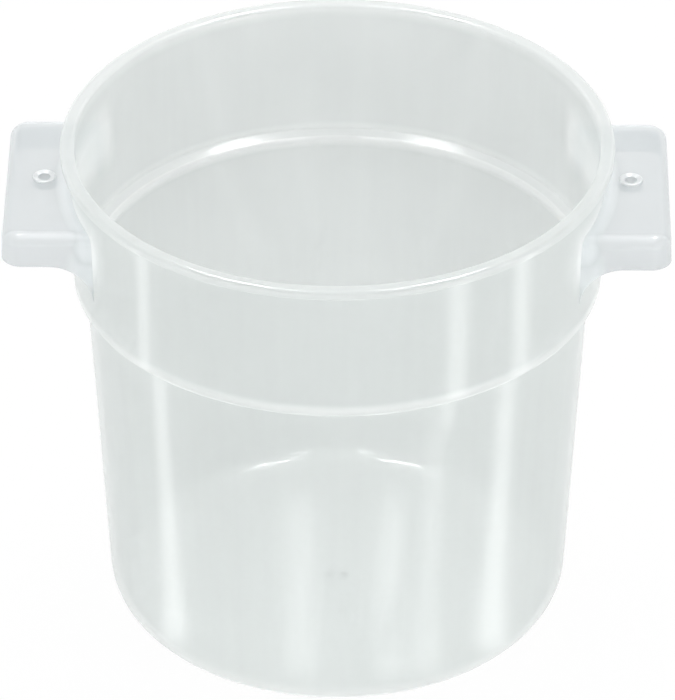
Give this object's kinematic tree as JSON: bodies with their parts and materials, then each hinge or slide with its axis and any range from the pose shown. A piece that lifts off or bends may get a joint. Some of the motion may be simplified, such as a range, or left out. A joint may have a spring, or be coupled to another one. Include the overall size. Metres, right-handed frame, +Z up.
{
  "type": "dough proofing container",
  "caption": "Round translucent plastic tub for proofing dough, with a wider stepped collar, a rounded rim lip and flat side tab handles that each have a ringed bail hole.",
  "frame": {"origin": "on the resting plane, under the middle of the floor", "axes": "+Z up along the vessel's axis; +X through the middle of the right handle; -Y towards the viewer of the picture"},
  "size_m": [0.3026, 0.252, 0.245],
  "materials": {
    "tub_plastic": "translucent natural polypropylene, smooth inside and lightly satin outside",
    "handle_plastic": "translucent natural polypropylene, lightly satin"
  },
  "bodies": {
    "root": {"floor_panel": "tub_plastic", "gate_mark": "tub_plastic", "base_corner": "tub_plastic", "lower_wall": "tub_plastic", "stacking_step": "tub_plastic", "collar_wall": "tub_plastic", "rim_lip": "tub_plastic", "left_handle_plate": "handle_plastic", "left_handle_skirt": "handle_plastic", "right_handle_plate": "handle_plastic", "right_handle_skirt": "handle_plastic", "left_bail_eye": "handle_plastic", "right_bail_eye": "handle_plastic"}
  },
  "joints": []
}
